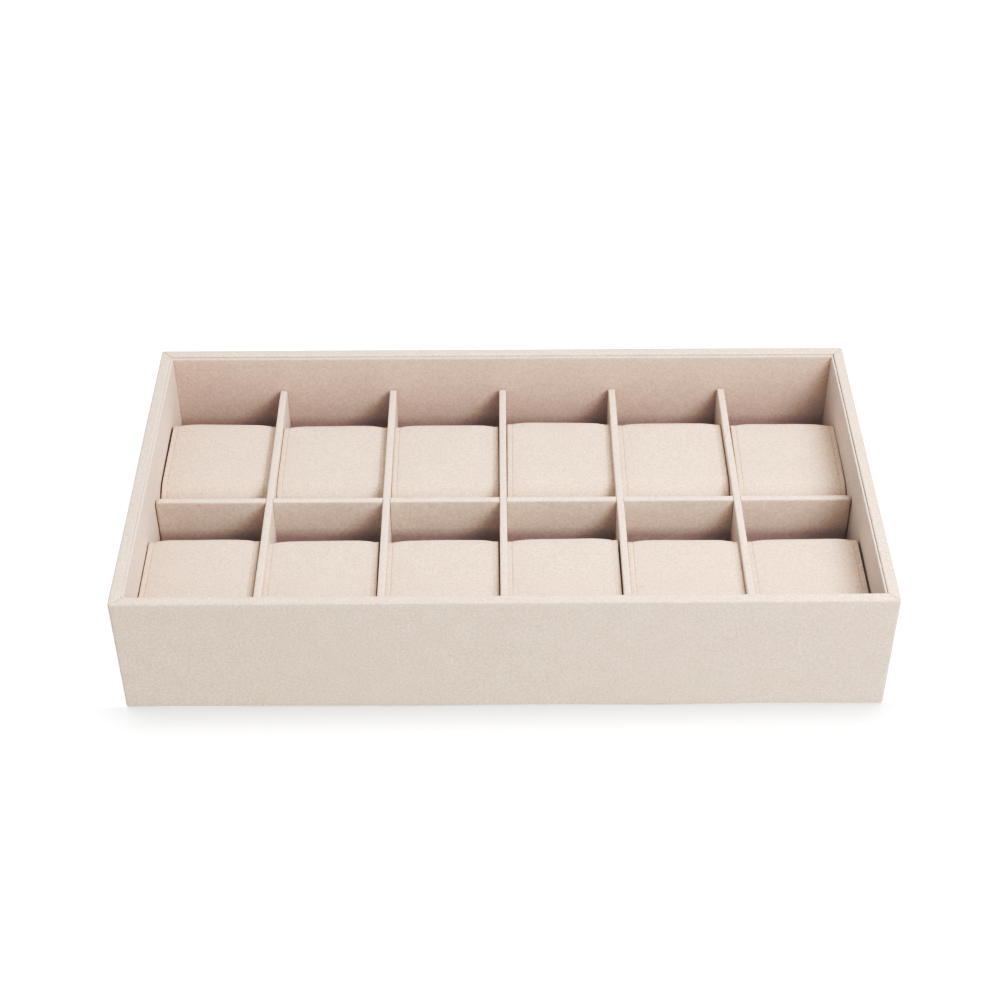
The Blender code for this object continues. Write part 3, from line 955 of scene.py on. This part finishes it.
def endPanelTree():
    # A panel at each end of a cushion: a flat card of suede inside a strip that follows its edge
    tree, given, result = newTree("GeometryNodeTree", "stripEndPanels", (
        ("Geometry", "Geometry", None),
        ("Strip Width", "Float", 2.3 * mm),
        ("Strip Depth", "Float", 1.8 * mm),
        ("Strip Round", "Float", 0.55 * mm),
        ("Reach", "Float", 26.5 * mm),
        ("Cloth", "Material", None),
    ), (("Geometry", "Geometry"),))
    edge = first(tree, "GeometryNodeMeshToCurve", {0: given["Geometry"]})
    oblong = first(tree, "GeometryNodeCurvePrimitiveQuadrilateral", {
        "Width": given["Strip Depth"], "Height": given["Strip Width"]})
    section = first(tree, "GeometryNodeFilletCurve", {
        "Curve": oblong, "Radius": given["Strip Round"], "Count": 4}, mode="POLY")
    strip = first(tree, "GeometryNodeCurveToMesh", {"Curve": edge, "Profile Curve": section})
    smoothStrip = first(tree, "GeometryNodeSetShadeSmooth", {"Geometry": strip})
    thickness = calc(tree, "SUBTRACT", given["Strip Width"], given["Strip Round"])
    sheet = first(tree, "GeometryNodeFillCurve", {0: edge}, mode="NGONS")
    raised = first(tree, "GeometryNodeExtrudeMesh", {
        "Mesh": sheet, "Offset Scale": thickness}, mode="FACES")
    under = first(tree, "GeometryNodeFlipFaces", {0: sheet})
    closed = first(tree, "GeometryNodeMergeByDistance", {
        "Geometry": together(tree, raised, under), "Distance": 0.001 * mm})
    sink = joined(tree, z=times(tree, thickness, -0.5))
    centred = first(tree, "GeometryNodeTransform", {"Geometry": closed, "Translation": sink})
    upright = first(tree, "GeometryNodeTransform", {
        "Geometry": together(tree, centred, smoothStrip), "Rotation": (math.pi / 2, 0, math.pi / 2)})
    pair = []
    for side in (-1.0, 1.0):
        away = joined(tree, times(tree, given["Reach"], side))
        pair.append(first(tree, "GeometryNodeTransform", {"Geometry": upright, "Translation": away}))
    real = first(tree, "GeometryNodeRealizeInstances", {"Geometry": together(tree, *pair)})
    dressed = first(tree, "GeometryNodeSetMaterial", {
        "Geometry": real, "Material": given["Cloth"]})
    tree.links.new(dressed, result["Geometry"])
    return tree


def loopMesh(name, points):
    mesh = bpy.data.meshes.new(name)
    count = len(points)
    mesh.from_pydata([(x, y, 0) for x, y in points], [(i, (i + 1) % count) for i in range(count)], [])
    return mesh


def buildCushions(plan):
    sizes = {name: cushionSizes(plan, name.split("_")[0]) for name in cushionNames}
    pads = []
    for number, name in enumerate(cushionNames):
        mesh, seamReach = padMesh(name + "_padding", plan, sizes[name], number)
        pads.append((addObject(name + "_padding", mesh, cushionSuede), seamReach))
    inflate(pads, plan)
    panelTree = endPanelTree()
    stripInset = plan["crown"] + plan["stripDrop"] + plan["stripDepth"] / 2
    for (pad, seamReach), name in zip(pads, cushionNames):
        fine = pad.modifiers.new("finer", "SUBSURF")
        fine.levels = fine.render_levels = 2
        makePlain(pad)
        relief = [noise.noise(v.co * plan["grainScale"]) * plan["grainRelief"] for v in pad.data.vertices]
        moved = [v.co + v.normal * r for v, r in zip(pad.data.vertices, relief)]
        pad.data.vertices.foreach_set("co", [c for place in moved for c in place])
        pad.data.shade_smooth()
        aside = plan["outward"].get(name[-1], 0.0)
        seat = seatOf(name) @ Matrix.Translation((aside, sizes[name]["further"] / 2, 0))
        pad.data.transform(seat)
        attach(pad, name)
        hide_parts(name)
        stripPath = sideOutline(plan, sizes[name], stripInset, plan["stripStep"])
        ends = grow(name + "_ends", panelTree, {
            "Strip Width": plan["stripWidth"], "Strip Depth": plan["stripDepth"],
            "Strip Round": plan["stripRound"], "Reach": plan["stripReach"],
            "Cloth": cushionSuede}, loopMesh(name + "_ends", stripPath))
        ends.data.transform(seat)
        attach(ends, name)
        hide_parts(name + "_left_cap", name + "_right_cap")


buildCushions(cushionPlan)
print("cushions are padded")


# The model's own pieces that stay take their finish
def dressNodes():
    finishes = {"floor_lining": liningSuede, "base_cover": underCloth, "base_board": boxBoard}
    finishes.update({side + "_wall_board": boxBoard for side in wallNames})
    for name, material in finishes.items():
        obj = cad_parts[name]
        obj.data.materials.clear()
        obj.data.materials.append(material)


dressNodes()


# A bright sweep, an even sky and one large soft light from the right
studio = {
    "skyLow": 0.89,
    "skyHigh": 0.86,
    "skyBand": (0.2, 0.9),  # how far up the sky runs from the low strength to the high one
    "skyTilt": 0.06,  # how much more light comes from the left than from overhead
    "skySeen": 1.4,  # what the camera sees past the floor's edge, as white as the floor
    "keyPlace": (0.45, -0.35, 0.7),
    "keySize": 0.46,
    "keyPower": 7.1,
    "floorHalf": 3.0,
    "floorLap": 6 * mm,  # how far the floor reaches in under the tray
    "floorWhite": 0.6,
    "floorSeen": 0.3,  # what the camera sees of the floor's own tone, under its glow
    "floorGlow": 1.1,
    "contactGlow": 0.9,
    "contactReach": 24 * mm,  # how far the soft shade runs out in front of the tray
    "contactSamples": 16,
    # The tone curve as (light, shown): deep shadows, a straight middle, soft highlights, and its far end
    "toneCurve": ((0.05, 0.026), (0.1, 0.056), (0.18, 0.12), (0.28, 0.255), (0.4, 0.4), (0.55, 0.56),
                  (0.75, 0.708), (1.0, 0.85), (1.25, 0.995)),
    "toneEnd": (1.5, 1.12),
    "toneReach": 1.5,
}


def floorMesh(plan):
    # A wide square with an opening under the tray, through which the base is lit and seen from below
    half = plan["floorHalf"]
    innerX, innerY = halfLength - plan["floorLap"], halfDepth - plan["floorLap"]
    signs = ((-1, -1), (1, -1), (1, 1), (-1, 1))
    places = [(x * half, y * half, 0) for x, y in signs] + [(x * innerX, y * innerY, 0) for x, y in signs]
    mesh = bpy.data.meshes.new("studioFloor")
    mesh.from_pydata(places, [], [(i, (i + 1) % 4, (i + 1) % 4 + 4, i + 4) for i in range(4)])
    return mesh


def addStudio(plan):
    world = bpy.data.worlds.new("studioSky")
    world.use_nodes = True
    tree = world.node_tree
    heading = put(tree, "ShaderNodeTexCoord").outputs["Generated"]
    sideways, upward = parts(tree, heading)[::2]
    low, high = plan["skyBand"]
    strength = first(tree, "ShaderNodeMapRange", {
        0: upward, 1: low, 2: high, 3: plan["skyLow"], 4: plan["skyHigh"]})
    strength = calc(tree, "SUBTRACT", strength, times(tree, sideways, plan["skyTilt"]))
    seen = put(tree, "ShaderNodeLightPath").outputs["Is Camera Ray"]
    strength = first(tree, "ShaderNodeMix", {0: seen, 2: strength, 3: plan["skySeen"]})
    background = tree.nodes["Background"].inputs
    background["Color"].default_value = (1, 1, 1, 1)
    tree.links.new(strength, background["Strength"])
    scene.world = world
    data = bpy.data.lights.new("keyLight", "AREA")
    data.shape = "SQUARE"
    data.size = plan["keySize"]
    data.energy = plan["keyPower"]
    # A softbox's even front falls off more slowly than a bare lamp
    data.use_nodes = True
    tree, place = data.node_tree, Vector(plan["keyPlace"])
    falloff = put(tree, "ShaderNodeLightFalloff", {"Strength": 1 / place.length})
    tree.links.new(falloff.outputs["Linear"], tree.nodes["Emission"].inputs["Strength"])
    key = addObject("keyLight", data)
    key.location = place
    key.rotation_euler = (-place).to_track_quat("-Z", "Y").to_euler()
    material, tree, surface, where = newMaterial("whiteSweep")
    surface["Roughness"].default_value = 1.0
    surface["Specular IOR Level"].default_value = 0.0
    surface["Emission Color"].default_value = (1, 1, 1, 1)
    seen = put(tree, "ShaderNodeLightPath").outputs["Is Camera Ray"]
    tones = [(plan[key],) * 3 + (1,) for key in ("floorWhite", "floorSeen")]
    tree.links.new(mixColors(tree, seen, *tones), surface["Base Color"])
    # The photograph's floor is pure white but for a soft shade along the front wall
    inFront = calc(tree, "LESS_THAN", parts(tree, where)[1], -halfDepth)
    openness = put(tree, "ShaderNodeAmbientOcclusion", {
        "Distance": plan["contactReach"]}, samples=plan["contactSamples"]).outputs["AO"]
    shaded = times(tree, openness, plan["contactGlow"])
    glow = first(tree, "ShaderNodeMix", {0: inFront, 2: plan["floorGlow"], 3: shaded})
    tree.links.new(times(tree, glow, seen), surface["Emission Strength"])
    floor = addObject("studioFloor", floorMesh(plan), material)
    scene.view_settings.view_transform = "Standard"
    scene.view_settings.use_curve_mapping = True
    mapping = scene.view_settings.curve_mapping
    mapping.clip_max_x = mapping.clip_max_y = plan["toneReach"]
    curve = mapping.curves[3]
    curve.points[1].location = plan["toneEnd"]
    for light, shown in plan["toneCurve"]:
        curve.points.new(light, shown)
    mapping.update()


addCamera(photoView)
addStudio(studio)
print("camera, floor and lights are set")
